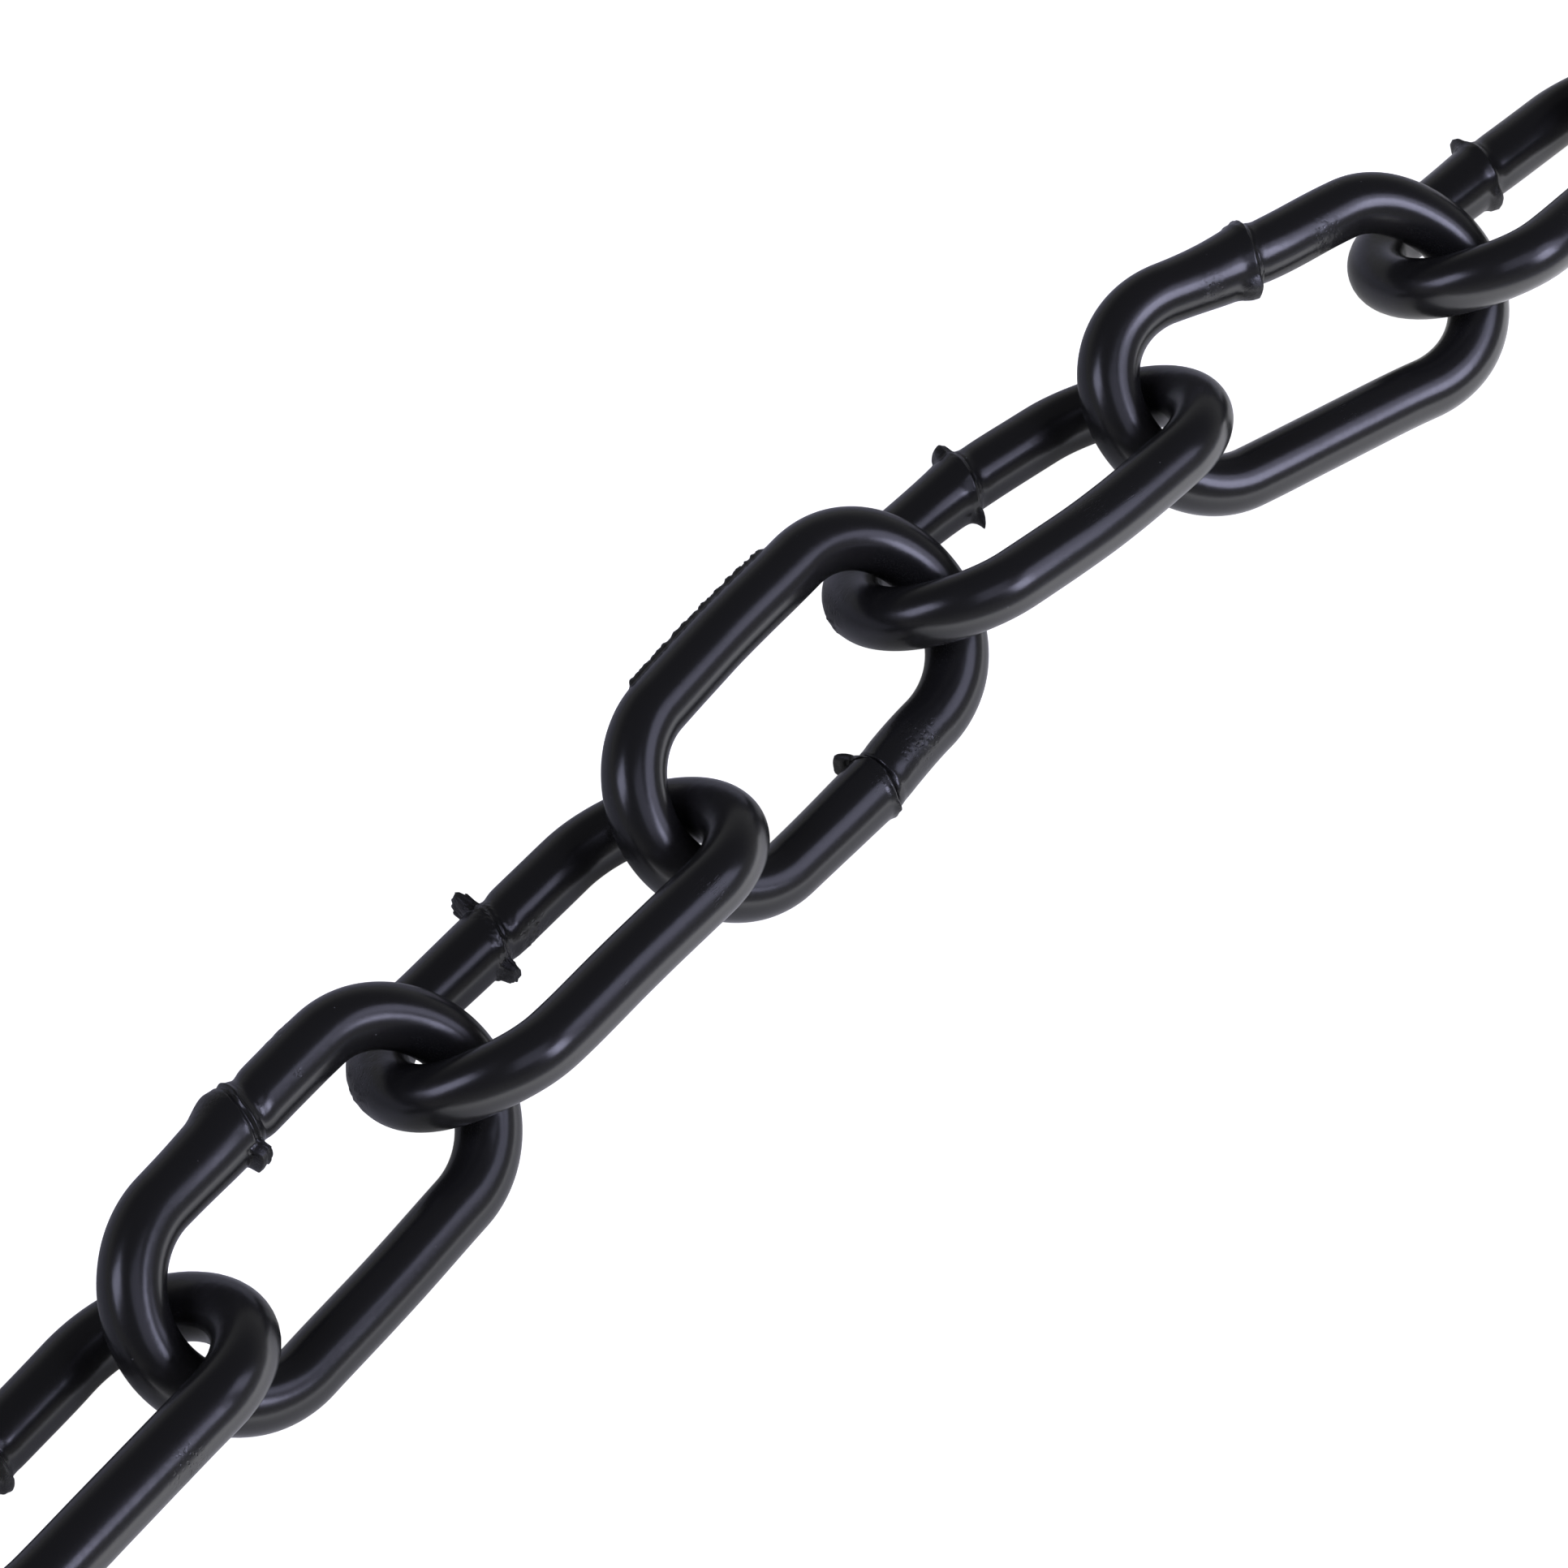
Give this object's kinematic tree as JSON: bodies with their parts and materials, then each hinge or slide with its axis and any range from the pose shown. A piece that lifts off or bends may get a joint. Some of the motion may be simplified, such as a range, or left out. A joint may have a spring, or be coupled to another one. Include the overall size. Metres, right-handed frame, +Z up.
{
  "type": "length of black coated welded steel chain",
  "caption": "Run of plain round-wire steel links, butt-welded and coated black, laid out with each link leaning the other way from its neighbour and free to swing on it.",
  "frame": {"origin": "on the floor under the middle of the chain's box", "axes": "+X along the chain, +Y to its left, +Z up from the floor"},
  "size_m": [1.0078, 0.0494, 0.0176],
  "materials": {
    "black_coat": "thin satin black coat over welded steel wire, with fine orange peel and bare burrs at the welds"
  },
  "bodies": {
    "link_01": {"link_01": "black_coat"},
    "link_02": {"link_02": "black_coat"},
    "link_03": {"link_03": "black_coat"},
    "link_04": {"link_04": "black_coat"},
    "link_05": {"link_05": "black_coat"},
    "link_06": {"link_06": "black_coat"},
    "link_07": {"link_07": "black_coat"},
    "link_08": {"link_08": "black_coat"},
    "link_09": {"link_09": "black_coat"},
    "link_10": {"link_10": "black_coat"},
    "link_11": {"link_11": "black_coat"},
    "link_12": {"link_12": "black_coat"},
    "link_13": {"link_13": "black_coat"},
    "link_14": {"link_14": "black_coat"},
    "link_15": {"link_15": "black_coat"},
    "link_16": {"link_16": "black_coat"},
    "link_17": {"link_17": "black_coat"},
    "link_18": {"link_18": "black_coat"},
    "link_19": {"link_19": "black_coat"},
    "link_20": {"link_20": "black_coat"},
    "link_21": {"link_21": "black_coat"},
    "link_22": {"link_22": "black_coat"},
    "link_23": {"link_23": "black_coat"},
    "link_24": {"link_24": "black_coat"},
    "link_25": {"link_25": "black_coat"},
    "link_26": {"link_26": "black_coat"},
    "link_27": {"link_27": "black_coat"},
    "link_28": {"link_28": "black_coat"},
    "link_29": {"link_29": "black_coat"}
  },
  "joints": [
    {"name": "swing_15_16", "type": "hinge", "parent": "link_15", "child": "link_16", "pos_m": [0.02188, 0.01083, 0.00859], "axis": [0.0456, 0.7046, 0.7082], "range_deg": [-80, 80]},
    {"name": "swing_16_17", "type": "hinge", "parent": "link_16", "child": "link_17", "pos_m": [0.05579, 0.00493, 0.00859], "axis": [-0.1602, -0.6874, 0.7084], "range_deg": [-80, 80]},
    {"name": "swing_17_18", "type": "hinge", "parent": "link_17", "child": "link_18", "pos_m": [0.08815, -0.00682, 0.00859], "axis": [-0.1788, -0.6826, -0.7085], "range_deg": [-80, 80]},
    {"name": "swing_18_19", "type": "hinge", "parent": "link_18", "child": "link_19", "pos_m": [0.12229, -0.01131, 0.00859], "axis": [0.0717, 0.7029, -0.7077], "range_deg": [-80, 80]},
    {"name": "swing_19_20", "type": "hinge", "parent": "link_19", "child": "link_20", "pos_m": [0.1567, -0.01214, 0.00859], "axis": [0.0145, 0.7069, 0.7072], "range_deg": [-80, 80]},
    {"name": "swing_20_21", "type": "hinge", "parent": "link_20", "child": "link_21", "pos_m": [0.1911, -0.01203, 0.00859], "axis": [0, -0.7071, 0.7071], "range_deg": [-80, 80]},
    {"name": "swing_21_22", "type": "hinge", "parent": "link_21", "child": "link_22", "pos_m": [0.2255, -0.01203, 0.00859], "axis": [0, -0.7071, -0.7071], "range_deg": [-80, 80]},
    {"name": "swing_22_23", "type": "hinge", "parent": "link_22", "child": "link_23", "pos_m": [0.2599, -0.01203, 0.00859], "axis": [0, 0.7071, -0.7071], "range_deg": [-80, 80]},
    {"name": "swing_23_24", "type": "hinge", "parent": "link_23", "child": "link_24", "pos_m": [0.2943, -0.01203, 0.00859], "axis": [0, 0.7071, 0.7071], "range_deg": [-80, 80]},
    {"name": "swing_24_25", "type": "hinge", "parent": "link_24", "child": "link_25", "pos_m": [0.3287, -0.01203, 0.00859], "axis": [0, -0.7071, 0.7071], "range_deg": [-80, 80]},
    {"name": "swing_25_26", "type": "hinge", "parent": "link_25", "child": "link_26", "pos_m": [0.3631, -0.01203, 0.00859], "axis": [0, -0.7071, -0.7071], "range_deg": [-80, 80]},
    {"name": "swing_26_27", "type": "hinge", "parent": "link_26", "child": "link_27", "pos_m": [0.3975, -0.01203, 0.00859], "axis": [0, 0.7071, -0.7071], "range_deg": [-80, 80]},
    {"name": "swing_27_28", "type": "hinge", "parent": "link_27", "child": "link_28", "pos_m": [0.4319, -0.01203, 0.00859], "axis": [0, 0.7071, 0.7071], "range_deg": [-80, 80]},
    {"name": "swing_28_29", "type": "hinge", "parent": "link_28", "child": "link_29", "pos_m": [0.4663, -0.01203, 0.00859], "axis": [0, -0.7071, 0.7071], "range_deg": [-80, 80]},
    {"name": "swing_15_14", "type": "hinge", "parent": "link_15", "child": "link_14", "pos_m": [-0.01912, 0.01083, 0.00859], "axis": [0.0102, 0.707, 0.7072], "range_deg": [-80, 80]},
    {"name": "swing_14_13", "type": "hinge", "parent": "link_14", "child": "link_13", "pos_m": [-0.0535, 0.01214, 0.00859], "axis": [-0.012, -0.7069, 0.7072], "range_deg": [-80, 80]},
    {"name": "swing_13_12", "type": "hinge", "parent": "link_13", "child": "link_12", "pos_m": [-0.0879, 0.0117, 0.00859], "axis": [0.0011, -0.7071, -0.7071], "range_deg": [-80, 80]},
    {"name": "swing_12_11", "type": "hinge", "parent": "link_12", "child": "link_11", "pos_m": [-0.1223, 0.01205, 0.00859], "axis": [0.0036, 0.7071, -0.7071], "range_deg": [-80, 80]},
    {"name": "swing_11_10", "type": "hinge", "parent": "link_11", "child": "link_10", "pos_m": [-0.1567, 0.01203, 0.00859], "axis": [0, 0.7071, 0.7071], "range_deg": [-80, 80]},
    {"name": "swing_10_09", "type": "hinge", "parent": "link_10", "child": "link_09", "pos_m": [-0.1911, 0.01203, 0.00859], "axis": [0, -0.7071, 0.7071], "range_deg": [-80, 80]},
    {"name": "swing_09_08", "type": "hinge", "parent": "link_09", "child": "link_08", "pos_m": [-0.2255, 0.01203, 0.00859], "axis": [0, -0.7071, -0.7071], "range_deg": [-80, 80]},
    {"name": "swing_08_07", "type": "hinge", "parent": "link_08", "child": "link_07", "pos_m": [-0.2599, 0.01203, 0.00859], "axis": [0, 0.7071, -0.7071], "range_deg": [-80, 80]},
    {"name": "swing_07_06", "type": "hinge", "parent": "link_07", "child": "link_06", "pos_m": [-0.2943, 0.01203, 0.00859], "axis": [0, 0.7071, 0.7071], "range_deg": [-80, 80]},
    {"name": "swing_06_05", "type": "hinge", "parent": "link_06", "child": "link_05", "pos_m": [-0.3287, 0.01203, 0.00859], "axis": [0, -0.7071, 0.7071], "range_deg": [-80, 80]},
    {"name": "swing_05_04", "type": "hinge", "parent": "link_05", "child": "link_04", "pos_m": [-0.3631, 0.01203, 0.00859], "axis": [0, -0.7071, -0.7071], "range_deg": [-80, 80]},
    {"name": "swing_04_03", "type": "hinge", "parent": "link_04", "child": "link_03", "pos_m": [-0.3975, 0.01203, 0.00859], "axis": [0, 0.7071, -0.7071], "range_deg": [-80, 80]},
    {"name": "swing_03_02", "type": "hinge", "parent": "link_03", "child": "link_02", "pos_m": [-0.4319, 0.01203, 0.00859], "axis": [0, 0.7071, 0.7071], "range_deg": [-80, 80]},
    {"name": "swing_02_01", "type": "hinge", "parent": "link_02", "child": "link_01", "pos_m": [-0.4663, 0.01203, 0.00859], "axis": [0, -0.7071, 0.7071], "range_deg": [-80, 80]}
  ]
}
